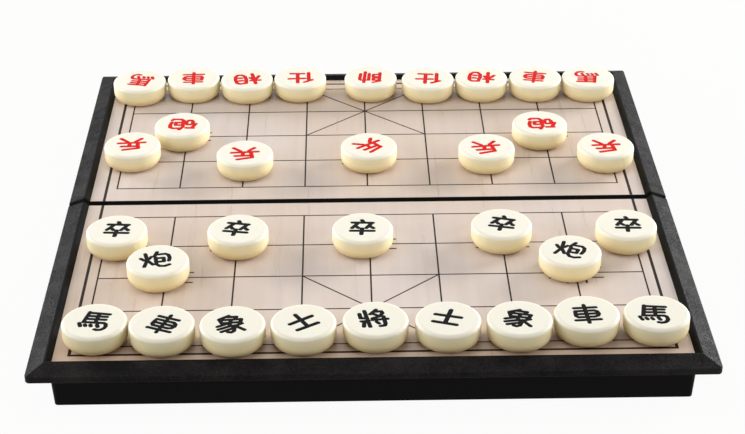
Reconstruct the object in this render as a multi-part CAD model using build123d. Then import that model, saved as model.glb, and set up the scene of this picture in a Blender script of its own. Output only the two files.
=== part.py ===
"""Xiangqi set: a hinged two-half magnetic board that folds into its own storage box, with 32 pieces.

Millimetres. The origin is at the middle of the open board, on the table. +X runs along the ranks, to the
right of the black player, +Y runs from the black side to the red side, and +Z is up.
The front half (black side, y < 0) stays put. The rear half (red side, y > 0) folds down under it.
"""
import os
from itertools import pairwise
from math import radians, sqrt, tan

from build123d import *

# Grid of the board
files = 9
side_ranks = 5               # ranks on each side of the river
file_pitch = 34.0            # between the files, along X
rank_pitch = 30.2            # between ranks on one side of the river, along Y
river = 31.6                 # between the two bank ranks

# Pieces
piece_gap = 3.0              # free gap between two pieces on neighbouring files
piece_d = file_pitch - piece_gap
piece_h = 11.6
piece_round = 1.8            # rounding of the top edge
piece_foot = 5.0             # the sides curve in this far to the bottom
magnet_d = 15.0
magnet_h = 3.0
magnet_deep = 0.2            # the magnet sits this far up in the base
magnet_glue = 0.05           # glue line round the magnet

# Sheets in the playing faces
side_margin = piece_d / 2 - 0.8 * piece_gap     # outer file to the sheet's edge
end_margin = piece_d / 2 - 1.1 * piece_gap      # first rank to the sheet's edge
steel_t = 0.5
print_t = 0.4
sheet_play = 0.1             # round a sheet in its recess
ridge = 2.2                  # plastic left between a sheet and the seam

# Rim round the playing face
lip_run = 2.2                # inner slope of the raised lip, in plan
lip_flat = 1.0
lip_rise = 2.1               # crest above the sheet
lip_round = 0.9
bevel_run = 8.0              # outer slope, in plan
bevel_drop = 3.0             # crest to the thin outer edge
edge_t = 3.1                 # height of the thin outer edge
edge_round = 0.6
rim_corner = 3.0             # rounding of the board's corners, in plan
rim_skin = 2.0               # wall left round the cored underside of the rim
rim_rib_t = 1.2
rim_rib_pitch = 28.0

# Tray under the playing face
tray_h = 19.9                # table to the rim's underside
tray_inset = 9.4             # rim's outer edge to the tray wall, under the rim
draft_angle = 3.4            # the walls lean in towards the table
wall = 2.4
plate = 2.0                  # under the sheets
tray_corner = 3.0

# Hinge along the seam
seam_gap = 0.2               # between the two halves
seam_ease = 1.3              # edges eased where the halves meet
knuckle_r = 2.5
knuckle_lift = 0.1           # knuckles stay clear of the table
knuckle_len = 11.0
knuckle_gap = 0.3            # running gap round and beside a knuckle
knuckles = 5                 # in one hinge, front and rear in turn
hinge_x = 95.0               # middle of each hinge
pin_r = 1.0
pin_clear = 0.04             # radial, pin in knuckle
pin_end = 1.5                # wall that closes the outer knuckle
pin_chamfer = 0.3

# Nested lips at the mouth
lip_out_t = 1.1              # outer lip of the front tray, at the table
lip_clear = 0.2              # between the nested lips, and under them
snap_len = 14.0
snap_h = 2.0
snap_rise = 0.35             # bead on the inner lip
snap_x = 62.0                # middle of each bead
snap_play = 0.1              # round a bead in its pocket, when shut

# Worked out
sheet_x = (files - 1) / 2 * file_pitch + side_margin      # half width of the sheets
sheet_y = river / 2 + (side_ranks - 1) * rank_pitch + end_margin     # seam to a sheet's far edge
rim_w = lip_run + lip_flat + bevel_run
half_x = sheet_x + rim_w                                 # half width of the board
half_y = sheet_y + rim_w
edge_z = tray_h + edge_t                                 # top of the thin outer edge
crest_z = edge_z + bevel_drop
face_z = crest_z - lip_rise                              # playing surface
recess_z = face_z - print_t - steel_t
plate_z = recess_z - plate                               # ceiling of the hollow
axis_z = knuckle_r + knuckle_lift                        # hinge axis above the table
mouth_h = 2 * axis_z                                     # the lips overlap by this when shut
tray_x = half_x - tray_inset
tray_y = half_y - tray_inset
lean = tan(radians(draft_angle))                         # a wall's run per mm of height
foot_x = tray_x - tray_h * lean                          # half width of the tray on the table
foot_y = tray_y - tray_h * lean
nest_x = foot_x - lip_out_t                              # inner face of the outer lip
nest_y = foot_y - lip_out_t
seam = seam_gap / 2
tall = 4 * crest_z                                       # more than the case's height
wide = 4 * (half_x + half_y)                             # more than the board's width
FRONT, REAR = -1, 1                                      # which side of the seam a half is on


# Shared shapes

def slab(x0, x1, y0, y1, z0, z1):
    """A box between two corners, given in either order."""
    middle = Pos((x0 + x1) / 2, (y0 + y1) / 2, (z0 + z1) / 2)
    return middle * Box(abs(x1 - x0), abs(y1 - y0), abs(z1 - z0))


def half_space(side, start):
    """All the room on one side of the seam, from start outwards."""
    return slab(-wide, wide, side * start, side * wide, -tall, tall)


def x_rod(x0, x1, radius):
    """A round bar on the hinge axis."""
    return Pos((x0 + x1) / 2, 0, axis_z) * Rot(0, 90, 0) * Cylinder(radius, abs(x1 - x0))


# Case

def corner_at(outline, u, z):
    """The corner of a flat outline that is nearest to (u, z)."""
    return outline.vertices().sort_by_distance((u, z, 0))[0]


def rim_points(half):
    """Corners of the rim's section, from the sheet up over the lip and down to the underside."""
    inner = half - rim_w
    return [(inner, face_z), (inner + lip_run, crest_z), (half - bevel_run, crest_z), (half, edge_z),
            (half, tray_h)]


def rim_outline(half):
    """Section of the right-hand rim: u from the board's middle, z up. half is the board's half width."""
    points = rim_points(half)
    outline = Polygon(*points, (half - rim_w, tray_h), align=None)
    for (u, z), radius in zip(points[1:], (lip_round, lip_round, edge_round, edge_round / 2)):
        outline = fillet(corner_at(outline, u, z), radius)
    return outline


def both_sides(outline):
    return outline + mirror(outline, Plane.YZ)


def crest_middle(half):
    """The middle of the raised lip's flat top."""
    return half - bevel_run - lip_flat / 2


def block_outline(half):
    """Section of the whole rim block, filled between its two crests."""
    filling = Pos(0, (tray_h + crest_z) / 2) * Rectangle(2 * crest_middle(half), crest_z - tray_h)
    return both_sides(rim_outline(half)) + filling


def well_outline(half):
    """Section of the space over the playing face, down to the sheet."""
    space = Pos(0, (face_z + tall) / 2) * Rectangle(2 * crest_middle(half), tall - face_z)
    return space - both_sides(rim_outline(half))


def core_outline(half):
    """Section of the hollow under the bevels, one skin inside the block."""
    foot = half - rim_skin
    top = half - bevel_run
    foot_z = edge_z + rim_skin * bevel_drop / bevel_run - rim_skin
    return Polygon(
        (foot, tray_h - 1), (foot, foot_z), (top, crest_z - rim_skin),
        (-top, crest_z - rim_skin), (-foot, foot_z), (-foot, tray_h - 1), align=None)


def hipped(outline):
    """outline(half) run along both ways of the board and kept where the two meet: mitred corners."""
    along_y = extrude(Plane.XZ * outline(half_x), wide, both=True)
    along_x = extrude(Plane.YZ * outline(half_y), wide, both=True)
    return along_y & along_x


def tray_form(inset, top):
    """The drafted block of the tray, from the table to top, with its sides moved in by inset."""
    grow = (top - tray_h) * lean - inset
    corner = max(tray_corner + grow, tray_corner / 2)
    plan = RectangleRounded(2 * (tray_x + grow), 2 * (tray_y + grow), corner)
    return extrude(Pos(0, 0, top) * plan, -top, taper=draft_angle)


def rim_webs():
    """Thin ribs across the cored rim."""
    webs = []
    for half, turn in ((half_x, 0), (half_y, 90)):
        count = int(half / rim_rib_pitch)
        for i in range(-count, count):
            at = (i + 0.5) * rim_rib_pitch
            web = slab(at - rim_rib_t / 2, at + rim_rib_t / 2, -wide, wide, -tall, tall)
            webs.append(Rot(0, 0, turn) * web)
    return webs


def case_block():
    """Both halves in one: rim with a cored underside, well over the playing face, and a solid tray."""
    plan = extrude(RectangleRounded(2 * half_x, 2 * half_y, rim_corner), tall)
    end_wall = seam + rim_skin
    core = hipped(core_outline) - tray_form(0, crest_z)
    core -= slab(-wide, wide, -end_wall, end_wall, -tall, tall)
    core -= rim_webs()
    return (hipped(block_outline) & plan) - core + tray_form(0, recess_z) - hipped(well_outline)


def seam_bars(side):
    """Square bars laid on edge along the top of the seam face. Cutting them eases its edges."""
    runs = [((-sheet_x, face_z), (sheet_x, face_z))]
    for hand in (-1, 1):
        runs += pairwise((hand * u, z) for u, z in rim_points(half_x))
    bars = []
    for (u0, z0), (u1, z1) in runs:
        start = Vector(u0, side * seam, z0)
        run = Vector(u1, side * seam, z1) - start
        along = Plane(origin=start + run * 0.5, x_dir=run, z_dir=(0, 1, 0))
        width = seam_ease * sqrt(2)
        bars.append(along * Rot(45, 0, 0) * Box(run.length + seam_ease / 2, width, width))
    return bars


def mouth_form(shrink):
    """The straight-sided room of the nested lips, from below the table to their ledge."""
    plan = RectangleRounded(2 * (nest_x - shrink), 2 * (nest_y - shrink), tray_corner - lip_out_t)
    return Pos(0, 0, -1) * extrude(plan, 1 + mouth_h + lip_clear)


def knuckle_places(hand):
    """The middle of each knuckle of one hinge, from the board's middle outwards."""
    step = knuckle_len + knuckle_gap
    return [hand * (hinge_x + (k - (knuckles - 1) / 2) * step) for k in range(knuckles)]


def bore_span(hand):
    """Ends of a hinge's bore: open towards the board's middle, blind at its outer end."""
    middles = knuckle_places(hand)
    open_end = middles[0] - hand * (knuckle_len / 2 + knuckle_gap)
    return open_end, middles[-1] + hand * (knuckle_len / 2 - pin_end)


def with_hinges(case, side):
    """Adds this half's knuckles, and clears the other half's."""
    own = 0 if side == FRONT else 1
    for hand in (-1, 1):
        for k, x in enumerate(knuckle_places(hand)):
            if k % 2 == own:
                case += x_rod(x - knuckle_len / 2, x + knuckle_len / 2, knuckle_r)
            else:
                reach = knuckle_len / 2 + knuckle_gap
                case -= x_rod(x - reach, x + reach, knuckle_r + knuckle_gap)
        case -= x_rod(*bore_span(hand), pin_r + pin_clear)
    return case


def snap_rods(side, play):
    """Rods whose outer sides are the snap beads on the rear's inner lip, or with play their pockets."""
    radius = (snap_h ** 2 / 4 + snap_rise ** 2) / (2 * snap_rise)
    face = nest_y - lip_clear
    rods = []
    for x in (-snap_x, snap_x):
        middle = Pos(x, side * (face + snap_rise - radius), axis_z)
        rod = middle * Rot(0, 90, 0) * Cylinder(radius + play, snap_len + 2 * play)
        rods.append(rod & half_space(side, face - snap_rise))
    return rods


def half_case(block, side):
    """One moulded half: the block's share, hollowed, with its lip, seam wall, snaps and knuckles."""
    case = block & half_space(side, seam)
    case -= tray_form(wall, plate_z) & half_space(side, seam + wall)
    case -= slab(-sheet_x, sheet_x, side * (seam + ridge), side * sheet_y, recess_z, tall)
    case -= seam_bars(side)
    # The seam wall ends just above the hinge axis, so that the two walls pass each other.
    passing = axis_z + lip_clear / 2
    if side == FRONT:
        inner = foot_x - wall - lip_clear
        seam_wall = slab(-inner, inner, 0, side * (seam + wall), passing, tall)
        case -= (mouth_form(0) & half_space(side, 0)) - seam_wall
        case -= snap_rods(side, snap_play)
    else:
        case -= slab(-wide, wide, 0, wide, -1, mouth_h + lip_clear) - mouth_form(lip_clear)
        case -= slab(-nest_x, nest_x, 0, seam + wall, -1, passing)
        case += snap_rods(side, 0)
    return with_hinges(case, side)


def hinge_pin(hand):
    """A steel pin with chamfered ends, pushed to the blind end of its bore."""
    open_end, blind_end = bore_span(hand)
    pin = x_rod(open_end + hand * (knuckle_gap + pin_end), blind_end, pin_r)
    return chamfer(pin.edges().filter_by(GeomType.CIRCLE), pin_chamfer)


# Sheets

def sheet(side, low, thick):
    """A sheet in a half's recess, its underside at low."""
    near, far = seam + ridge + sheet_play, sheet_y - sheet_play
    across = sheet_x - sheet_play
    return slab(-across, across, side * near, side * far, low, low + thick)


# Pieces

def rank_y(rank):
    """Ranks 1 to 5 are on the red side, from the far edge to the river, and 6 to 10 on the black side."""
    if rank <= side_ranks:
        return river / 2 + (side_ranks - rank) * rank_pitch
    return -river / 2 - (rank - side_ranks - 1) * rank_pitch


def game_piece():
    """A round piece with soft edges and a disc magnet in its base, standing on z = 0."""
    radius = piece_d / 2
    outline = Polygon((0, 0), (radius, 0), (radius, piece_h), (0, piece_h), align=None)
    outline = fillet(corner_at(outline, radius, piece_h), piece_round)
    outline = fillet(corner_at(outline, radius, 0), piece_foot)
    body = revolve(Plane.XZ * outline, Axis.Z)
    deep = magnet_deep + magnet_h
    body -= Pos(0, 0, deep / 2) * Cylinder(magnet_d / 2 + magnet_glue, deep)
    magnet = Pos(0, 0, magnet_deep + magnet_h / 2) * Cylinder(magnet_d / 2, magnet_h)
    return body, magnet


# Each row: side, rank, and for each piece its name, file from 0 and the way it stands off its point,
# right and back, in shares of piece_gap.
rows = [
    ("red", 1, [
        ("horse_left", 0, 0.8, -2.9), ("chariot_left", 1, 0.1, -1.8), ("elephant_left", 2, -0.6, -2.5),
        ("advisor_left", 3, -1.4, -2.1), ("general", 4, 1.3, -2.3), ("advisor_right", 5, 1.3, -3.2),
        ("elephant_right", 6, 0.6, -3.0), ("chariot_right", 7, 0.0, -3.1), ("horse_right", 8, -0.9, -3.4)]),
    ("red", 3, [("cannon_left", 1, -0.7, -2.2), ("cannon_right", 7, -1.2, -3.3)]),
    ("red", 4, [
        ("soldier_1", 0, 2.0, 0.0), ("soldier_2", 2, 0.3, -3.9), ("soldier_3", 4, 0.4, -1.5),
        ("soldier_4", 6, -0.6, -2.4), ("soldier_5", 8, -1.3, -2.5)]),
    ("black", 7, [
        ("soldier_1", 0, 2.4, -0.6), ("soldier_2", 2, 0.3, -0.8), ("soldier_3", 4, -1.2, -0.8),
        ("soldier_4", 6, -0.2, 0.0), ("soldier_5", 8, -1.7, -0.7)]),
    ("black", 8, [("cannon_left", 1, -1.1, -0.6), ("cannon_right", 7, -0.9, 0.9)]),
    ("black", 10, [
        ("horse_left", 0, 1.9, 1.6), ("chariot_left", 1, 1.1, 0.8), ("elephant_left", 2, 0.8, 0.5),
        ("advisor_left", 3, 0.5, 0.7), ("general", 4, 0.4, 1.2), ("advisor_right", 5, 0.4, 1.0),
        ("elephant_right", 6, 0.2, 0.9), ("chariot_right", 7, -0.5, 2.1), ("horse_right", 8, -0.9, 2.0)]),
]

parts = {}
block = case_block()
for name, side in (("front", FRONT), ("rear", REAR)):
    parts[name + "_case"] = half_case(block, side)
    parts[name + "_steel_sheet"] = sheet(side, recess_z, steel_t)
    parts[name + "_board_print"] = sheet(side, recess_z + steel_t, print_t)
for name, hand in (("left", -1), ("right", 1)):
    parts["hinge_pin_" + name] = hinge_pin(hand)
body, magnet = game_piece()
for colour, rank, pieces in rows:
    for name, file, right, back in pieces:
        x = (file - (files - 1) / 2) * file_pitch + right * piece_gap
        y = rank_y(rank) + back * piece_gap
        place = Pos(x, y, face_z)
        parts[f"{colour}_{name}"] = Compound(children=[place * body, place * magnet])

os.makedirs("parts", exist_ok=True)
for name, shape in parts.items():
    export_step(shape, f"parts/{name}.step")
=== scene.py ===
# %% [markdown]
# # A magnetic xiangqi set in a folding box
#
# The CAD model is the fixed frame of this scene: two hollow half cases on a hinge, a steel sheet and a
# printed board in each, and 32 round pieces that hold on by magnets. Nothing of it is moved here. This
# lesson gives it its looks: moulded plastic, printed ink, engraved and painted characters, magnets, and
# a small studio to see it in. Lengths are written in millimetres and multiplied by `mm`.

# %% Load the frame
from math import atan2, hypot, pi, radians

import bmesh
import bpy
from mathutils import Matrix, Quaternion, Vector


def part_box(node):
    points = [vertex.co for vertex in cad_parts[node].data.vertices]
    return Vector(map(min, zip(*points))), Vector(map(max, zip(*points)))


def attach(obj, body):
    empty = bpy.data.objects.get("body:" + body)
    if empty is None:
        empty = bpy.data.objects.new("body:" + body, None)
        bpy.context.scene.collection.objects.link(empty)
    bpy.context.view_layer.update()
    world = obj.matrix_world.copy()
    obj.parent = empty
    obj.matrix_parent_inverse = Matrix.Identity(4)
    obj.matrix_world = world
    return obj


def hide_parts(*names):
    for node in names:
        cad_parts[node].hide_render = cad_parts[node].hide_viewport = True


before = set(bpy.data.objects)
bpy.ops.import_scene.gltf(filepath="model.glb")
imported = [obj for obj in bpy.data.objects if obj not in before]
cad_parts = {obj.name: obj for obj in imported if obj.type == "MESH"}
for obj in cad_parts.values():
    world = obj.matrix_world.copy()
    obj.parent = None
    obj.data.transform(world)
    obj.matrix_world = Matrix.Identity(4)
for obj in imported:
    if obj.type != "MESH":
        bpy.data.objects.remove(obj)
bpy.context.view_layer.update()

# %% [markdown]
# ## Sizes
#
# What the frame knows is read from it: the height of the playing face, the edges of the printed sheets
# and the size of a piece. The grid is only printed, so its spacing is written here once, and every line
# is worked out from it. Two ranks of the grid face each other across the river, where no file is drawn.

# %% Sizes
mm = 0.001
hair = 0.001 * mm                    # less than this apart counts as touching
files = 9
side_ranks = 5                       # ranks on each side of the river
file_pitch = 34.0 * mm
rank_pitch = 30.2 * mm
river = 31.6 * mm

sheet_low, sheet_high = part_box("rear_board_print")
face_z = sheet_high.z                # the playing face
sheet_side = sheet_high.x            # half width of the printed sheets
sheet_near = sheet_low.y             # from the seam to a sheet
sheet_far = sheet_high.y

piece_low, piece_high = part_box("black_general")
piece_r = (piece_high.x - piece_low.x) / 2
piece_h = piece_high.z - piece_low.z
print("piece", round(2 * piece_r / mm, 2), "by", round(piece_h / mm, 2), "mm, face at", round(face_z / mm, 2))

# %% [markdown]
# ## Camera
#
# The camera comes first, because every later choice is judged through it. It stands on the black
# player's side, a little under a metre away and 30 degrees above the table, and a long lens keeps the
# far edge of the board nearly as wide as the near one. `to_track_quat` turns the lens axis to the aim
# point, and a turn about that axis gives the slight tilt of a hand-held shot.

# %% Camera
camera_spot = Vector((-12.7, -818.2, 485.9)) * mm
camera_aim = Vector((-4.9, -33.4, 29.0)) * mm
camera_tilt = radians(-0.43)
camera_lens = 84.7                   # mm, on a 36 mm sensor
camera_shift = (0.0172, 0.0084)      # right and up, as shares of the picture's width
camera_near = 10 * mm                # nothing nearer than this is drawn

look = (camera_aim - camera_spot).to_track_quat("-Z", "Y") @ Quaternion((0, 0, 1), camera_tilt)
bpy.ops.object.camera_add(location=camera_spot, rotation=look.to_euler())
camera = bpy.context.active_object
camera.data.lens = camera_lens
camera.data.shift_x, camera.data.shift_y = camera_shift
camera.data.clip_start = camera_near
bpy.context.scene.camera = camera
print("camera is", round((camera_aim - camera_spot).length / mm), "mm from its aim point")

# %% [markdown]
# ## Studio
#
# A set like this is shown on a plain sweep. Two broad soft lamps stand left and right, a little in
# front of the board, and a small one hangs over its middle. Two low lamps far behind graze the sides of
# the rim, so that its grain shows, while the near sides of the pieces fall away towards the foot. The
# sky is dimmer than white, and only the camera, mirrors and glass see it as white: the object is lit at
# a plain level and the background is still clean. The floor does the same. It lights the object as a
# fawn card, which keeps the near sides of the front pieces warm and in shade, while the camera sees
# mostly an even white, with a faint shadow left under the case.

# %% Studio
def studio_node(tree, kind, inputs=(), **settings):
    """A node with its settings and inputs. An input may be a plain value or another node's output."""
    made = tree.nodes.new("ShaderNode" + kind)
    for name, value in settings.items():
        setattr(made, name, value)
    for name, value in dict(inputs).items():
        if isinstance(value, bpy.types.NodeSocket):
            tree.links.new(value, made.inputs[name])
        else:
            made.inputs[name].default_value = value
    return made


def seen_directly(tree):
    """1 for what the camera sees itself, also in a mirror or through glass, and 0 for light on surfaces."""
    path = studio_node(tree, "LightPath")
    shown = path.outputs["Is Camera Ray"]
    for other in ("Is Glossy Ray", "Is Transmission Ray"):
        shown = studio_node(tree, "Math", {0: shown, 1: path.outputs[other]}, operation="MAXIMUM").outputs[0]
    return shown


white = (1, 1, 1, 1)
sky_level = 0.24                     # what the sky gives the object, beside 1 for the camera
floor_tone = (0.62, 0.57, 0.50, 1)   # the fawn card that lights the object from below
floor_white = 0.95                   # share of plain white that the camera sees in the floor
floor_size = 6.0
lamps = {                            # place and width in metres, then watts
    "top_lamp": ((-0.08, -0.05, 0.55), 0.30, 0.60),
    "left_lamp": ((-1.10, -0.35, 0.50), 0.8, 7.3),
    "right_lamp": ((1.10, -0.35, 0.50), 0.8, 6.5),
    "low_left_lamp": ((-0.92, 0.56, 0.25), 0.40, 9.0),
    "low_right_lamp": ((0.90, 0.60, 0.25), 0.45, 15.0),
}

world = bpy.data.worlds.new("studio")
world.use_nodes = True
bpy.context.scene.world = world
tree = world.node_tree
tree.nodes.clear()
level = studio_node(tree, "MapRange", {"Value": seen_directly(tree), "To Min": sky_level, "To Max": 1.0})
sky = studio_node(tree, "Background", {"Color": white, "Strength": level.outputs[0]})
studio_node(tree, "OutputWorld", {"Surface": sky.outputs[0]})


def soft_lamp(name, spot, width, watts):
    """A square area lamp at spot that points at the middle of the board."""
    bpy.ops.object.light_add(type="AREA", location=spot)
    lamp = bpy.context.active_object
    lamp.name = name
    lamp.data.size = width
    lamp.data.energy = watts
    lamp.rotation_euler = (-Vector(spot)).to_track_quat("-Z", "Y").to_euler()


for name, how in lamps.items():
    soft_lamp(name, *how)
bpy.context.scene.view_settings.view_transform = "Standard"

bpy.ops.mesh.primitive_plane_add(size=floor_size, location=(0, 0, 0))
floor = bpy.context.active_object
floor.name = "studio_floor"
sweep = bpy.data.materials.new("pale_sweep")
sweep.use_nodes = True
tree = sweep.node_tree
tree.nodes.clear()
card = studio_node(tree, "BsdfDiffuse", {"Color": floor_tone})
glow = studio_node(tree, "Emission", {"Color": white, "Strength": 1.0})
share = studio_node(tree, "Math", {0: seen_directly(tree), 1: floor_white}, operation="MULTIPLY")
both = studio_node(tree, "MixShader", {0: share.outputs[0], 1: card.outputs[0], 2: glow.outputs[0]})
studio_node(tree, "OutputMaterial", {"Surface": both.outputs[0]})
floor.data.materials.append(sweep)
print("studio:", len(lamps), "lamps, sky at", sky_level)

# %% [markdown]
# ## Plastics, sheets and inks
#
# Every finish is a small node tree on one Principled shader. A value that is the same all over stays on
# the shader's own socket. What varies is worked out from Object coordinates, which are metres in the
# frame, so a noise of scale 1000 has grains about a millimetre wide.

# %% Material helpers
def new_material(name, **sockets):
    """A Principled material. Each keyword is a socket's name, with _ for its spaces."""
    material = bpy.data.materials.new(name)
    material.use_nodes = True
    shader = material.node_tree.nodes["Principled BSDF"]
    for socket, value in sockets.items():
        shader.inputs[socket.replace("_", " ")].default_value = value
    return material, material.node_tree, shader


def spot_on_object(tree, scale=(1, 1, 1)):
    """Object coordinates, stretched by a Mapping node."""
    place = studio_node(tree, "TexCoord").outputs["Object"]
    return studio_node(tree, "Mapping", {"Vector": place, "Scale": scale}).outputs[0]


def noise(tree, place, scale, detail, roughness=0.5):
    inputs = {"Vector": place, "Scale": scale, "Detail": detail, "Roughness": roughness}
    return studio_node(tree, "TexNoise", inputs).outputs["Fac"]


def ramp(tree, factor, *stops):
    """A colour ramp. Each stop is its position and its colour."""
    made = studio_node(tree, "ValToRGB", {"Fac": factor})
    elements = made.color_ramp.elements
    while len(elements) < len(stops):
        elements.new(0.5)
    for element, (position, colour) in zip(elements, stops):
        element.position = position
        element.color = (*colour, 1)
    return made.outputs["Color"]


def between(tree, value, low, high, start=0.0, end=1.0):
    """Takes value from low..high to start..end, smoothly and held at the ends."""
    inputs = {"Value": value, "From Min": low, "From Max": high, "To Min": start, "To Max": end}
    return studio_node(tree, "MapRange", inputs, interpolation_type="SMOOTHSTEP").outputs[0]


def arithmetic(tree, operation, *values):
    return studio_node(tree, "Math", dict(enumerate(values)), operation=operation).outputs[0]


def bump(tree, height, distance, strength):
    inputs = {"Height": height, "Distance": distance, "Strength": strength}
    return studio_node(tree, "Bump", inputs).outputs[0]


def blend(tree, share, base, layer, mode="MIX"):
    """Lays one colour over another. Each is a plain value or an output."""
    inputs = {0: share, 6: base, 7: layer}       # where a colour mix has its sockets
    return studio_node(tree, "Mix", inputs, data_type="RGBA", blend_type=mode).outputs[2]


def feed(tree, shader, **outputs):
    """Links outputs to the shader. Each keyword is a socket's name, with _ for its spaces."""
    for socket, output in outputs.items():
        tree.links.new(output, shader.inputs[socket.replace("_", " ")])


print("material helpers ready")

# %% [markdown]
# ### Case plastic
#
# The half cases are moulded in black plastic. The broad bevel of the rim is spark-eroded in the mould,
# which leaves a fine matt grain, while the raised lip beside the sheet and the tray walls come from
# polished steel and are smoother and darker. One material does both: the distance beyond the edge of the
# sheet and the height tell the shader where the grain is. The narrow ridge beside the seam is matt too.

# %% Case plastic
bevel_start = (2.6 * mm, 3.6 * mm)   # the grain sets in over this run beyond the sheet's edge
rim_start = (19.4 * mm, 20.4 * mm)   # and over this height, at the rim's underside
seam_run = 0.5 * mm                  # the ridge beside the seam fades into the rest over this run
grain_deep = 0.42 * mm
polished_black = (0.0022, 0.0021, 0.0022, 1)


def case_plastic():
    material, tree, shader = new_material(
        "case_plastic", Specular_IOR_Level=0.055, Specular_Tint=(1.0, 0.95, 0.93, 1.0))
    place = spot_on_object(tree)
    axes = studio_node(tree, "SeparateXYZ", {0: place})
    reach_x, reach_y = (arithmetic(tree, "ABSOLUTE", axes.outputs[axis]) for axis in "XY")
    beyond_x = arithmetic(tree, "SUBTRACT", reach_x, sheet_side)
    beyond_y = arithmetic(tree, "SUBTRACT", reach_y, sheet_far)
    on_bevel = between(tree, arithmetic(tree, "MAXIMUM", beyond_x, beyond_y), *bevel_start)
    on_rim = between(tree, axes.outputs["Z"], *rim_start)
    grained = arithmetic(tree, "MULTIPLY", on_bevel, on_rim)
    at_seam = between(tree, reach_y, sheet_near, sheet_near + seam_run, 1.0, 0.0)
    fine = noise(tree, place, 880, 4.0, 0.75)
    coarse = noise(tree, place, 420, 2.0)
    grit = arithmetic(tree, "ADD", fine, arithmetic(tree, "MULTIPLY", coarse, 0.5))
    relief = bump(tree, grit, grain_deep, between(tree, grained, 0, 1, 0.05, 1.0))
    cloudy = noise(tree, place, 60, 3.0)
    tint = ramp(tree, arithmetic(tree, "MULTIPLY", fine, cloudy),
                (0.17, (0.0040, 0.0037, 0.0038)), (0.34, (0.0190, 0.0177, 0.0177)))
    uneven = between(tree, noise(tree, place, 150, 3.0), 0.35, 0.65, 0.54, 0.40)
    matt = between(tree, at_seam, 0, 1, 0.42, 0.80)
    rough = arithmetic(tree, "MAXIMUM", matt, arithmetic(tree, "MULTIPLY", grained, uneven))
    feed(tree, shader, Base_Color=blend(tree, grained, polished_black, tint), Roughness=rough, Normal=relief)
    return material


for node in ("front_case", "rear_case"):
    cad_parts[node].data.materials.clear()
    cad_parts[node].data.materials.append(case_plastic())
print("case plastic on both halves")

# %% [markdown]
# ### Steel, hinge pins and the printed sheet
#
# The steel sheets are hidden under the print, and only their cut edges could ever show. The hinge pins
# are drawn wire, so their fine scratches run along X. The printed board is coated card with a faint
# picture of pale wood: long streaks along the files and broad warm and cool patches. Its colour is also
# painted browner and darker towards the near edge, which is painted shade from the front row of pieces
# and the rim. The card has a soft gloss in which the pieces are dimly mirrored.

# %% Steel, pins and print
# Painted shade: the card's colour is darkened towards the near edge over this run.
edge_shade_run = 30 * mm                   # the browner tone reaches this far in from the near edge


def sheet_steel():
    material, tree, shader = new_material("sheet_steel", Metallic=0.8)
    mottle = noise(tree, spot_on_object(tree), 90, 4.0)
    colour = ramp(tree, mottle, (0.3, (0.07, 0.07, 0.072)), (0.7, (0.12, 0.12, 0.122)))
    feed(tree, shader, Base_Color=colour, Roughness=between(tree, mottle, 0.3, 0.7, 0.35, 0.5))
    return material


def pin_steel():
    material, tree, shader = new_material("pin_steel", Metallic=1.0)
    scratches = noise(tree, spot_on_object(tree, (40, 4000, 4000)), 1.0, 3.0)
    colour = ramp(tree, scratches, (0.3, (0.42, 0.42, 0.43)), (0.7, (0.6, 0.6, 0.6)))
    feed(tree, shader, Base_Color=colour, Roughness=between(tree, scratches, 0.3, 0.7, 0.22, 0.38),
         Normal=bump(tree, scratches, 0.01 * mm, 0.5))
    return material


def printed_card():
    material, tree, shader = new_material("printed_card", Specular_IOR_Level=0.3)
    streaks = noise(tree, spot_on_object(tree, (170, 7, 1)), 1.0, 3.0)
    patches = noise(tree, spot_on_object(tree, (9, 5, 1)), 1.0, 2.0)
    along = studio_node(tree, "SeparateXYZ", {0: spot_on_object(tree)}).outputs["Y"]
    # Painted shade: a browner, darker tone towards the near edge stands in for the shade of the front row and
    # the rim.
    edge_shade_mask = between(tree, along, edge_shade_run - sheet_far, -sheet_far)
    colour = ramp(tree, patches, (0.3, (0.66, 0.525, 0.42)), (0.7, (0.71, 0.62, 0.58)))
    grain = ramp(tree, streaks, (0.32, (0.955, 0.945, 0.935)), (0.62, (1, 1, 1)))
    edge_shade_colour = ramp(tree, edge_shade_mask, (0.0, (1, 1, 1)), (1.0, (0.93, 0.85, 0.77)))
    for layer in (grain, edge_shade_colour):
        colour = blend(tree, 1.0, colour, layer, "MULTIPLY")
    feed(tree, shader, Base_Color=colour, Roughness=between(tree, streaks, 0.2, 0.8, 0.26, 0.34))
    return material


finishes = {"steel_sheet": sheet_steel(), "board_print": printed_card(), "hinge_pin": pin_steel()}
for name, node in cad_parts.items():
    for word, material in finishes.items():
        if word in name:
            node.data.materials.clear()
            node.data.materials.append(material)
            print(name, "gets", material.name)

# %% [markdown]
# ## Modelling helpers
#
# The new pieces are modelled as by hand. An operator acts on all that is selected, so each step selects
# first: `only` selects whole objects, and `pick` selects faces, edges or corners of the object being
# edited, by a rule about their place.

# %% Modelling helpers
sharp_from = radians(35)             # edges that turn by more than this stay sharp


def only(*pieces):
    """Selects these objects and nothing else, and makes the first one active."""
    bpy.ops.object.select_all(action="DESELECT")
    for piece in pieces:
        piece.select_set(True)
    bpy.context.view_layer.objects.active = pieces[0]


def edit(piece, kind="FACE"):
    """Opens a piece in edit mode with nothing selected. kind is VERT, EDGE or FACE."""
    only(piece)
    bpy.ops.object.mode_set(mode="EDIT")
    bpy.ops.mesh.select_mode(type=kind)
    bpy.ops.mesh.select_all(action="DESELECT")


def pick(piece, kind, wanted):
    """In edit mode, selects the verts, edges or faces for which wanted(element) is true."""
    bpy.ops.mesh.select_all(action="DESELECT")
    mesh = bmesh.from_edit_mesh(piece.data)
    for element in getattr(mesh, kind):
        if wanted(element):
            element.select_set(True)
    bmesh.update_edit_mesh(piece.data)


def done():
    bpy.ops.object.mode_set(mode="OBJECT")


def joined(pieces, name):
    """Joins the pieces into one and names it."""
    only(*pieces)
    bpy.ops.object.join()
    piece = bpy.context.active_object
    piece.name = name
    piece.data.name = name
    return piece


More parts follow.
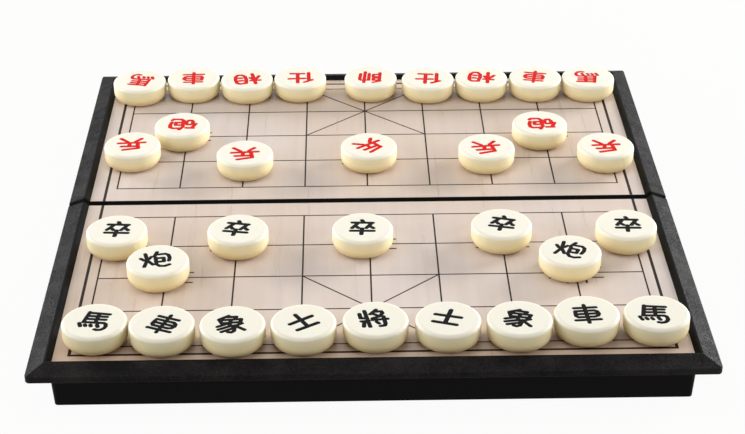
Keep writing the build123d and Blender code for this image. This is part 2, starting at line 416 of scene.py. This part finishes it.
def modify(piece, kind, **settings):
    """Adds a modifier and applies it at once."""
    only(piece)
    bpy.ops.object.modifier_add(type=kind)
    modifier = piece.modifiers[-1]
    for name, value in settings.items():
        setattr(modifier, name, value)
    bpy.ops.object.modifier_apply(modifier=modifier.name)


def settle(piece):
    """Puts a piece's place, turn and size into its mesh."""
    only(piece)
    bpy.ops.object.transform_apply(location=True, rotation=True, scale=True)
    return piece


def copy_of(piece, name, move=(0, 0, 0)):
    """A copy with its own mesh, moved."""
    only(piece)
    bpy.ops.object.duplicate(linked=False)
    copy = bpy.context.active_object
    copy.name = name
    copy.data.name = name
    copy.location = move
    return settle(copy)


def tidy_normals(piece):
    """Makes all faces point outwards."""
    edit(piece)
    bpy.ops.mesh.select_all(action="SELECT")
    bpy.ops.mesh.normals_make_consistent(inside=False)
    done()


def smooth(piece):
    """Shades a piece smooth, apart from its sharp edges."""
    only(piece)
    bpy.ops.object.shade_smooth_by_angle(angle=sharp_from)


print("modelling helpers ready")

# %% [markdown]
# ## Printed lines
#
# The grid is ink on the card. A bump or a picture would blur at the edges, so the ink is a real film, a
# few hundredths of a millimetre thick. The lattice of one half starts as one grid of 8 by 4 cells. Each
# cell is inset by half a line's width and its middle is deleted, which leaves lines that meet cleanly,
# and the outermost lines are widened to their full width.

# %% Lattice
line_w = 0.80 * mm
frame_w = 1.5 * mm
mark_w = 0.95 * mm
ink_t = 0.03 * mm
ink_step = 0.004 * mm                # films that cross have different heights


def ink():
    material, tree, shader = new_material("line_ink", Specular_IOR_Level=0.1)
    worn = noise(tree, spot_on_object(tree, (250, 250, 1)), 1.0, 3.0)
    colour = ramp(tree, worn, (0.25, (0.014, 0.009, 0.007)), (0.75, (0.036, 0.024, 0.019)))
    feed(tree, shader, Base_Color=colour, Roughness=between(tree, worn, 0.3, 0.7, 0.32, 0.44))
    return material


def inked(piece, film=ink_t):
    """Gives a flat outline its thickness, upwards."""
    tidy_normals(piece)
    edit(piece)
    bpy.ops.mesh.select_all(action="SELECT")
    if piece.data.polygons[0].normal.z < 0:
        bpy.ops.mesh.flip_normals()
    done()
    modify(piece, "SOLIDIFY", thickness=film, offset=1.0)
    return piece


def flat_bar(x, y, length, width, turn=0.0):
    """A flat bar on the playing face, its middle at x, y."""
    bpy.ops.mesh.primitive_plane_add(size=1, location=(x, y, face_z), rotation=(0, 0, turn))
    bar = bpy.context.active_object
    bar.scale = (length, width, 1)
    return settle(bar)


def lattice(side):
    """The crossing files and ranks of one half. side is -1 for the black half and 1 for the red."""
    across = (files - 1) * file_pitch
    deep = (side_ranks - 1) * rank_pitch
    middle = side * (river + deep) / 2
    bpy.ops.mesh.primitive_grid_add(x_subdivisions=files - 1, y_subdivisions=side_ranks - 1, size=1,
                                    location=(0, middle, face_z))
    net = bpy.context.active_object
    net.scale = (across, deep, 1)
    settle(net)
    edit(net)
    bpy.ops.mesh.select_all(action="SELECT")
    bpy.ops.mesh.inset(thickness=line_w / 2, use_individual=True)
    bpy.ops.mesh.delete(type="FACE")
    bpy.ops.mesh.select_mode(type="VERT")
    for way in (-1, 1):
        pick(net, "verts", lambda v: way * v.co.x > across / 2 - hair)
        bpy.ops.transform.translate(value=(way * line_w / 2, 0, 0))
        pick(net, "verts", lambda v: way * (v.co.y - middle) > deep / 2 - hair)
        bpy.ops.transform.translate(value=(0, way * line_w / 2, 0))
    done()
    return inked(net)


nets = {side: lattice(side) for side in (-1, 1)}
print("lattice:", len(nets[1].data.polygons), "faces in one half")

# %% [markdown]
# The thick frame round the grid is open at the seam, so that it runs on from one half to the other when
# the board lies flat. It is one plane, inset to the frame's width. The middle and the strip beside the
# seam are deleted, and the two loose ends are pulled to the sheet's edge. The palaces are two crossed
# bars each, and their films are thinner than the lattice, so that they end inside its lines.

# %% Frame and palaces
frame_side = 5.6 * mm                # outer file to the thick frame
frame_end = 6.9 * mm                 # first rank to the thick frame


def thick_frame(side):
    reach_x = (files - 1) / 2 * file_pitch + frame_side + frame_w / 2
    reach_y = river / 2 + (side_ranks - 1) * rank_pitch + frame_end + frame_w / 2
    border = flat_bar(0, side * (reach_y + sheet_near) / 2, 2 * reach_x, reach_y - sheet_near)
    edit(border)
    bpy.ops.mesh.select_all(action="SELECT")
    bpy.ops.mesh.inset(thickness=frame_w)
    bpy.ops.mesh.delete(type="FACE")
    pick(border, "faces", lambda f: side * f.calc_center_median().y < sheet_near + frame_w)
    bpy.ops.mesh.delete(type="FACE")
    bpy.ops.mesh.select_mode(type="VERT")
    pick(border, "verts", lambda v: side * v.co.y < sheet_near + 2 * frame_w)
    bpy.ops.transform.resize(value=(1, 0, 1), center_override=(0, side * sheet_near, face_z))
    done()
    return inked(border, ink_t - ink_step)


def palace(side):
    """The two diagonals between files 4 and 6, over the three ranks nearest the edge."""
    y = side * (river / 2 + (side_ranks - 2) * rank_pitch)
    slope = atan2(rank_pitch, file_pitch)
    long = 2 * hypot(file_pitch, rank_pitch)
    bars = []
    for way in (-1, 1):
        bar = flat_bar(0, y, long, line_w, way * slope)
        bars.append(inked(bar, ink_t - (3 + way) * ink_step))
    return joined(bars, "palace")


borders = {side: [thick_frame(side), palace(side)] for side in (-1, 1)}
print("frame and palace:", sum(len(p.data.polygons) for p in borders[1]), "faces in one half")

# %% [markdown]
# Soldiers and cannons have starting points that are marked by four small corners. A corner is a square
# whose two outer edges are extruded into arms. The outer files have corners on their inner side only,
# so the corners are modelled as a left pair and a right pair, and copied to each point.

# %% Starting points
mark_off = 4.7 * mm                  # point to the middle of a corner's arms
mark_run_x = 13.2 * mm               # point to the end of an arm, along a rank
mark_run_y = 9.4 * mm


def corner_mark(way_x, way_y):
    mark = flat_bar(way_x * mark_off, way_y * mark_off, mark_w, mark_w)
    edit(mark, "EDGE")
    pick(mark, "edges", lambda e: all(way_x * v.co.x > mark_off for v in e.verts))
    bpy.ops.mesh.extrude_edges_move(TRANSFORM_OT_translate={"value": (way_x * (mark_run_x - mark_off), 0, 0)})
    pick(mark, "edges", lambda e: all(way_y * v.co.y > mark_off and abs(v.co.x) < mark_off + mark_w
                                      for v in e.verts))
    bpy.ops.mesh.extrude_edges_move(TRANSFORM_OT_translate={"value": (0, way_y * (mark_run_y - mark_off), 0)})
    done()
    return inked(mark)


pairs = {way: joined([corner_mark(way, 1), corner_mark(way, -1)], "pair") for way in (-1, 1)}


def starting_points(side):
    cannons = [(file, side_ranks - 3) for file in (1, files - 2)]
    soldiers = [(file, 1) for file in range(0, files, 2)]
    marks = []
    for file, steps in cannons + soldiers:
        spot = ((file - (files - 1) / 2) * file_pitch, side * (river / 2 + steps * rank_pitch), 0)
        for way in (-1, 1):
            if 0 <= file + way < files:
                marks.append(copy_of(pairs[way], "mark", spot))
    return marks


line_ink = ink()
for side, half in ((-1, "front"), (1, "rear")):
    lines = joined([nets[side], *borders[side], *starting_points(side)], half + "_printed_lines")
    lines.data.materials.append(line_ink)
    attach(lines, half + "_half")
    print(lines.name, len(lines.data.polygons), "faces")
for pair in pairs.values():
    bpy.data.objects.remove(pair)

# %% [markdown]
# ## The blank piece
#
# All 32 pieces come from one mould: a thick disc with a softly rounded top edge, a broad curve down to
# a smaller foot, and a pocket for the magnet. It starts as a cylinder. The two rims are bevelled, the
# top face gets a narrow ring that keeps it flat where the shading turns into the rounding, and the foot
# is inset and extruded upwards into the pocket.

# %% Blank
piece_round = 1.8 * mm               # rounding of the top edge
piece_foot = 5.0 * mm                # the sides curve in this far to the foot
magnet_r = 7.5 * mm
magnet_h = 3.0 * mm
magnet_deep = 0.2 * mm               # the magnet sits this far up in the base
magnet_glue = 0.05 * mm              # glue line round the magnet
magnet_edge = 0.25 * mm              # its broken edges
top_ring = 0.25 * mm                 # flat ring inside the rounding of the top
blank_sides = 96
magnet_sides = 48
upright = 0.999                      # a face lies flat if its normal points up by at least this much


def blank_piece():
    """A piece without its character, standing on z = 0 at the origin."""
    bpy.ops.mesh.primitive_cylinder_add(vertices=blank_sides, radius=piece_r, depth=piece_h,
                                        location=(0, 0, piece_h / 2))
    blank = settle(bpy.context.active_object)
    edit(blank, "EDGE")
    pick(blank, "edges", lambda e: all(v.co.z > piece_h - hair for v in e.verts))
    bpy.ops.mesh.bevel(offset=piece_round, segments=7, affect="EDGES")
    pick(blank, "edges", lambda e: all(v.co.z < hair for v in e.verts))
    bpy.ops.mesh.bevel(offset=piece_foot, segments=12, affect="EDGES")
    bpy.ops.mesh.select_mode(type="FACE")
    pick(blank, "faces", lambda f: f.normal.z > upright and len(f.verts) == blank_sides)
    bpy.ops.mesh.inset(thickness=top_ring)
    pick(blank, "faces", lambda f: f.normal.z < -upright and len(f.verts) == blank_sides)
    bpy.ops.mesh.inset(thickness=piece_r - piece_foot - magnet_r - magnet_glue)
    bpy.ops.mesh.extrude_region_move(TRANSFORM_OT_translate={"value": (0, 0, magnet_deep + magnet_h)})
    done()
    return blank


def disc_magnet():
    """The magnet, a sintered disc with broken edges."""
    bpy.ops.mesh.primitive_cylinder_add(vertices=magnet_sides, radius=magnet_r, depth=magnet_h,
                                        location=(0, 0, magnet_deep + magnet_h / 2))
    magnet = settle(bpy.context.active_object)
    edit(magnet, "EDGE")
    pick(magnet, "edges", lambda e: abs(e.verts[0].co.z - e.verts[1].co.z) < hair)
    bpy.ops.mesh.bevel(offset=magnet_edge, segments=2, affect="EDGES")
    done()
    smooth(magnet)
    return magnet


blank = blank_piece()
magnet = disc_magnet()
print("blank:", len(blank.data.polygons), "faces, magnet:", len(magnet.data.polygons))

# %% [markdown]
# ## Characters
#
# Each kind of piece is known by its character, which is cut by a round-nosed cutter of one width, so
# every stroke is a bar with round ends. Crowded characters get a narrower cutter than plain ones. The
# strokes are drawn on the top of the piece, in millimetres from its middle, upright for the player who
# owns it. They are listed in the order in which they are written.

# %% Strokes
characters = {
    "horse": [
        [(-3.6, 6.9), (-4.7, -1.7)], [(-3.6, 6.4), (6.2, 5.9)], [(-3.9, 3.7), (5.3, 3.7)],
        [(-4.3, 1.2), (5.2, 1.2)],
        [(1.2, 6.2), (1.0, -1.7)],
        [(-4.7, -1.6), (5.1, -1.6), (6.1, -2.4), (6.5, -4.3), (6.0, -6.0), (4.8, -7.2), (3.1, -7.6),
         (1.9, -7.2)],
        [(-6.4, -2.7), (-5.4, -5.2)], [(-3.5, -3.7), (-3.0, -4.8)], [(-0.9, -3.7), (-0.4, -4.8)],
        [(2.2, -3.4), (2.9, -5.0)]],
    "chariot": [
        [(-5.0, 4.6), (5.3, 4.6)],
        [(-4.8, 2.0), (4.1, 2.0), (5.4, 1.0), (5.8, -0.8), (5.1, -2.5), (3.6, -3.2), (-4.2, -3.2),
         (-5.2, -2.0),
         (-5.1, 0.2), (-4.8, 2.0)],
        [(-5.1, -0.6), (5.6, -0.6)], [(-5.8, -5.7), (5.8, -5.7)], [(0, 7.0), (0, -8.1)]],
    "black_elephant": [
        [(-0.4, 7.0), (-5.0, 4.4)], [(-1.4, 6.0), (3.2, 5.8), (2.3, 3.9)],
        [(-4.8, 3.7), (5.3, 3.6), (4.7, 1.1), (-3.9, 1.1), (-4.8, 3.7)], [(0.5, 3.6), (0.0, 1.1)],
        [(-0.6, 0.8), (-6.0, -1.6)],
        [(-1.0, 0.3), (0.9, -1.8), (1.7, -3.9), (1.4, -6.0), (0.0, -7.0), (-1.4, -6.6)],
        [(0.4, -1.5), (-5.7, -4.0)], [(1.3, -3.6), (-4.4, -6.1)], [(5.4, 0.0), (2.7, -1.5)],
        [(1.9, -1.4), (6.3, -5.6)]],
    "black_advisor": [[(-6.1, 1.6), (6.0, 2.1)], [(0, 7.0), (0, -4.5)], [(-5.6, -4.5), (5.5, -4.4)]],
    "black_general": [
        [(-6.5, 4.8), (-6.4, 1.1), (-3.5, 0.6)], [(-6.4, -1.6), (-3.3, -1.6)], [(-5.0, -1.6), (-5.8, -6.1)],
        [(-3.9, 7.0), (-2.9, -6.6)], [(1.7, 7.3), (-1.5, 3.9)],
        [(0.9, 5.7), (4.0, 5.6), (4.3, 4.1), (2.7, 1.5), (-0.9, 0.3)], [(0.2, 3.7), (1.4, 2.7)],
        [(-1.3, -1.1), (6.0, -1.1)], [(4.4, 1.2), (4.5, -5.0), (3.9, -6.5), (1.9, -6.6)],
        [(0.6, -2.9), (1.5, -4.4)]],
    "black_cannon": [
        [(-7.6, 2.5), (-6.0, 0.5)], [(-2.3, 3.5), (-3.8, 1.4)], [(-5.1, 6.6), (-4.5, 0.6), (-6.4, -5.4)],
        [(-4.1, -0.4), (-2.0, -4.0)], [(0.8, 7.5), (-0.9, 3.5)],
        [(0.3, 5.1), (4.7, 5.2), (6.2, 4.0), (6.6, 1.2), (6.0, -1.6)],
        [(0.0, 1.6), (3.6, 1.6), (3.6, -1.8), (0.0, -1.8)],
        [(-0.3, 2.6), (-0.3, -4.0), (1.2, -5.9), (3.6, -6.3), (6.0, -5.2)]],
    "black_soldier": [
        [(-0.4, 7.0), (0.3, 5.4)], [(-5.2, 4.5), (5.1, 4.4)], [(-2.8, 3.3), (-5.3, -0.9)],
        [(-3.8, 1.2), (-2.0, -0.9)],
        [(4.2, 3.3), (1.9, -0.9)], [(3.5, 1.2), (5.5, -0.9)], [(-5.8, -3.7), (5.7, -3.7)],
        [(-0.2, -1.4), (-0.5, -7.0)]],
    "red_elephant": [
        [(-7.3, 3.4), (-1.9, 3.4)], [(-4.4, 7.7), (-3.6, -5.8)], [(-4.6, 2.4), (-7.3, -2.3)],
        [(-3.8, 2.2), (-1.9, -0.6)],
        [(1.2, 6.5), (4.8, 6.9), (6.5, 5.4), (7.0, 1.0), (6.5, -3.2), (5.0, -5.1), (2.7, -5.1), (1.0, -3.0),
         (0.6, 1.0), (1.2, 6.5)], [(3.0, 2.6), (4.7, 2.6)], [(3.0, -1.0), (4.7, -1.0)]],
    "red_advisor": [
        [(-2.6, 7.6), (-7.1, 4.7)], [(-5.2, 5.4), (-5.1, -5.1)], [(-2.8, 2.5), (6.5, 2.8)],
        [(1.4, 8.1), (1.4, -4.2)],
        [(-2.2, -4.0), (5.5, -4.3)]],
    "red_general": [
        [(-1.6, 7.8), (-5.8, 5.8)], [(-5.3, 5.8), (-5.5, -5.3)],
        [(-5.3, 4.8), (-1.7, 4.8), (-1.7, 1.9), (-5.3, 1.9)],
        [(-5.3, 0.2), (-1.6, 0.2), (-1.6, -3.0), (-5.3, -3.0)],
        [(0.9, -4.1), (1.0, 4.8), (5.8, 4.8), (6.4, 3.7), (6.0, -3.7)], [(3.8, 8.0), (3.3, -6.5)]],
    "red_cannon": [
        [(-6.8, 5.7), (-2.8, 5.6)], [(-6.0, 5.1), (-7.8, 0.4)],
        [(-5.8, 1.3), (-3.1, 1.5), (-2.3, 0.4), (-2.4, -2.3), (-3.6, -3.7), (-5.1, -3.6), (-6.1, -1.9),
         (-5.8, 1.3)],
        [(0.9, 7.7), (-0.9, 3.9)], [(0.3, 6.1), (4.7, 6.2), (6.3, 5.2), (6.6, 1.9), (5.9, -1.3)],
        [(-0.5, 2.2), (3.6, 2.2), (3.6, -1.0), (-0.5, -1.0)],
        [(-0.6, 2.9), (-0.5, -3.5), (0.8, -4.9), (5.1, -5.0), (6.0, -3.9)]],
    "red_soldier": [
        [(3.7, 8.0), (-4.4, 5.8)], [(-4.3, 5.7), (-3.3, -0.4)], [(-2.3, 3.6), (5.1, 4.0)],
        [(1.0, 3.7), (0.9, -0.3)],
        [(-7.2, -0.9), (7.1, 0.2)], [(-2.3, -2.2), (-5.1, -5.3)], [(2.4, -1.7), (6.3, -5.3)]],
}
stroke_count = sum(len(strokes) for strokes in characters.values())
print(len(characters), "characters,", stroke_count, "strokes")

# %% [markdown]
# A stroke is built leg by leg. A filled circle stands at the start of a leg, turned so that no corner
# lies exactly across the run, and its leading half is moved to the leg's end, which draws it out into a
# bar with round ends. All the bars of a character are joined and extruded.

# %% Bars
cut_deep = 0.45 * mm
paint_low = 0.16 * mm                # the paint's surface lies this far down
round_sides = 16
plain_stroke_w = 2.4 * mm
crowded_stroke_w = 2.15 * mm
crowded = ("horse", "chariot", "black_elephant", "black_general", "black_cannon", "red_general")


def stroke_leg(start, end, radius):
    """A flat bar with round ends from start to end."""
    run = end - start
    turn = atan2(run.y, run.x) + pi / round_sides
    bpy.ops.mesh.primitive_circle_add(vertices=round_sides, radius=radius, fill_type="NGON",
                                      location=(start.x, start.y, 0), rotation=(0, 0, turn))
    bar = settle(bpy.context.active_object)
    edit(bar, "VERT")
    pick(bar, "verts", lambda v: (v.co.xy - start).dot(run) > 0)
    bpy.ops.transform.translate(value=(run.x, run.y, 0))
    done()
    return bar


def overlapping_bars(kind):
    """All the bars of a character, from cut_deep under the top of a piece to well above it."""
    radius = (crowded_stroke_w if kind in crowded else plain_stroke_w) / 2
    legs = []
    for stroke in characters[kind]:
        points = [Vector(point) * mm for point in stroke]
        legs += [stroke_leg(start, end, radius) for start, end in zip(points, points[1:])]
    whole = joined(legs, "bars_" + kind)
    whole.location = (0, 0, piece_h - 2 * cut_deep)
    settle(whole)
    edit(whole)
    bpy.ops.mesh.select_all(action="SELECT")
    bpy.ops.mesh.extrude_region_move(TRANSFORM_OT_translate={"value": (0, 0, 4 * cut_deep)})
    bpy.ops.mesh.select_all(action="SELECT")
    bpy.ops.mesh.normals_make_consistent(inside=False)
    done()
    return whole


bars = {kind: overlapping_bars(kind) for kind in characters}
print("bars:", {kind: len(whole.data.polygons) for kind, whole in bars.items()})

# %% [markdown]
# The bars overlap where strokes cross. Kept in common with a plain round block, they become one clean
# solid, the cutter. The paint has the same outline, so it is a copy of the cutter whose top is lowered
# to just under the top of the piece.

# %% Cutters and paint
cutter_sides = 48


def cutter_of(kind):
    bpy.ops.mesh.primitive_cylinder_add(vertices=cutter_sides, radius=piece_r - piece_round,
                                        depth=2 * cut_deep, location=(0, 0, piece_h))
    cutter = settle(bpy.context.active_object)
    cutter.name = "cutter_" + kind
    modify(cutter, "BOOLEAN", operation="INTERSECT", object=bars[kind], solver="EXACT", use_self=True)
    edit(cutter)
    bpy.ops.mesh.select_all(action="SELECT")
    bpy.ops.mesh.remove_doubles(threshold=2 * hair)
    done()
    return cutter


def paint_of(kind):
    paint = copy_of(cutters[kind], "paint_" + kind)
    edit(paint, "VERT")
    pick(paint, "verts", lambda v: v.co.z > piece_h)
    bpy.ops.transform.translate(value=(0, 0, -cut_deep - paint_low))
    done()
    return paint


cutters = {kind: cutter_of(kind) for kind in characters}
paints = {kind: paint_of(kind) for kind in characters}
for whole in bars.values():
    bpy.data.objects.remove(whole)
print("cutters:", {kind: len(cutter.data.polygons) for kind, cutter in cutters.items()})

# %% [markdown]
# ### Ivory plastic, paints and magnet
#
# The pieces are moulded in an ivory urea plastic: light goes a little way into it and comes out warmer.
# Its colour is painted paler on the top and darker and yellower round the foot, which is painted light
# and painted shade. The paints are glossy enamels, wiped flat, and the magnets are dark grey ferrite.

# %% Piece materials
def ivory_plastic():
    material, tree, shader = new_material(
        "ivory_plastic", Specular_IOR_Level=0.2, Subsurface_Weight=0.25,
        Subsurface_Radius=(1.0, 0.62, 0.28), Subsurface_Scale=2.0 * mm)
    place = spot_on_object(tree)
    height = studio_node(tree, "SeparateXYZ", {0: place}).outputs["Z"]
    # Painted shade and light: by height, the colour runs from a dark tan at the foot to a pale ivory on the
    # top.
    up = between(tree, height, face_z, face_z + piece_h)
    clouds = noise(tree, place, 130, 2.0)
    level = arithmetic(tree, "ADD", up, between(tree, clouds, 0.3, 0.7, -0.01, 0.01))
    colour = ramp(tree, level, (0.0, (0.70, 0.545, 0.28)), (0.5, (0.90, 0.785, 0.475)),
                  (0.94, (0.89, 0.82, 0.58)), (0.985, (0.89, 0.855, 0.735)))
    feed(tree, shader, Base_Color=colour, Roughness=between(tree, clouds, 0.3, 0.7, 0.30, 0.33),
         Normal=bump(tree, noise(tree, place, 500, 1.0), 0.006 * mm, 0.5))
    return material


def enamel(name, light, dark):
    material, tree, shader = new_material(name, Specular_IOR_Level=0.05)
    thick = noise(tree, spot_on_object(tree), 700, 2.0)
    feed(tree, shader, Base_Color=ramp(tree, thick, (0.3, dark), (0.7, light)),
         Roughness=between(tree, thick, 0.3, 0.7, 0.3, 0.42), Normal=bump(tree, thick, 0.02 * mm, 0.6))
    return material


def ferrite():
    material, tree, shader = new_material("ferrite", Metallic=0.3)
    pores = noise(tree, spot_on_object(tree), 2500, 3.0)
    colour = ramp(tree, pores, (0.35, (0.03, 0.03, 0.032)), (0.7, (0.075, 0.075, 0.08)))
    feed(tree, shader, Base_Color=colour, Roughness=between(tree, pores, 0.3, 0.7, 0.45, 0.7))
    return material


ivory = ivory_plastic()
enamels = {
    "black": enamel("black_enamel", (0.008, 0.007, 0.007), (0.004, 0.0035, 0.0035)),
    "red": enamel("red_enamel", (0.76, 0.016, 0.008), (0.66, 0.009, 0.005)),
}
magnet.data.materials.append(ferrite())
blank.data.materials.append(ivory)
print("piece materials ready")

# %% [markdown]
# ## Setting out the pieces
#
# Each piece stands where its CAD node stands. What is chosen here is its turn, because a player never
# sets a round piece quite straight, and how far its character sits from the middle, because the mould
# makers were not exact either. The cutter is moved by that much before it cuts. Every piece is engraved
# for itself and has its own paint and magnet, and they ride on the piece's body, so they lift with it.

# %% Set out
placing = {                          # turn anticlockwise in degrees, then shift right and up in mm,
                                     # all for the player who owns the piece
    "black_horse_left": (-7, 0, 0), "black_chariot_left": (-23, 1.5, 0), "black_elephant_left": (6, -1, -1),
    "black_advisor_left": (32, -0.5, -0.5), "black_general": (7, -0.5, 0),
    "black_advisor_right": (-18, -0.5, 0),
    "black_elephant_right": (-13, -0.5, -0.5), "black_chariot_right": (4, -0.5, -0.5),
    "black_horse_right": (-3, -2, -1.5), "black_cannon_left": (9, -0.5, 0), "black_cannon_right": (-22, 0, 0),
    "black_soldier_1": (-3, 0.5, 0.5), "black_soldier_2": (-10, -0.5, 0.5), "black_soldier_3": (-2, 0, 0),
    "black_soldier_4": (-14, 0.5, 0), "black_soldier_5": (-2, 0.5, -0.5),
    "red_horse_left": (-8, -1, 0), "red_chariot_left": (2, 0, 2), "red_elephant_left": (8, 0, 0.5),
    "red_advisor_left": (1, 0, 0), "red_general": (-3, 0, 0.5), "red_advisor_right": (-5, 0, -0.5),
    "red_elephant_right": (-10, 0, 0), "red_chariot_right": (-11, 0.5, 1.5),
    "red_horse_right": (-2, 0.5, 1.5),
    "red_cannon_left": (-2, 0, -1), "red_cannon_right": (1, -0.5, 0), "red_soldier_1": (-1, 0.5, -1),
    "red_soldier_2": (0, 0, 0), "red_soldier_3": (33, 0, -0.5), "red_soldier_4": (3, 0.5, 0.5),
    "red_soldier_5": (-1, 0, 0.5),
}


def put(piece, spot, turn):
    """Turns a piece made at the origin and puts it at a spot."""
    piece.rotation_euler = (0, 0, turn)
    piece.location = spot
    return settle(piece)


def set_out(name, turn, right, up):
    low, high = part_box(name)
    spot = Vector(((low.x + high.x) / 2, (low.y + high.y) / 2, low.z))
    colour, kind = name.split("_")[:2]
    character = kind if kind in characters else colour + "_" + kind
    facing = radians(turn) + (pi if colour == "red" else 0)
    shift = Vector((right, up, 0)) * mm
    cutter = copy_of(cutters[character], "cutter", shift)
    disc = copy_of(blank, name + "_disc")
    modify(disc, "BOOLEAN", operation="DIFFERENCE", object=cutter, solver="EXACT")
    bpy.data.objects.remove(cutter)
    smooth(disc)
    paint = copy_of(paints[character], name + "_character", shift)
    paint.data.materials.append(enamels[colour])
    base = copy_of(magnet, name + "_magnet")
    for piece, slot in ((disc, "piece_plastic"), (paint, colour + "_paint"), (base, "magnet")):
        put(piece, spot, facing)
        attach(piece, name)
        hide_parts(name)


for name, how in placing.items():
    set_out(name, *how)
for pattern in (blank, magnet, *cutters.values(), *paints.values()):
    bpy.data.objects.remove(pattern)
print("set out", len(placing), "pieces")
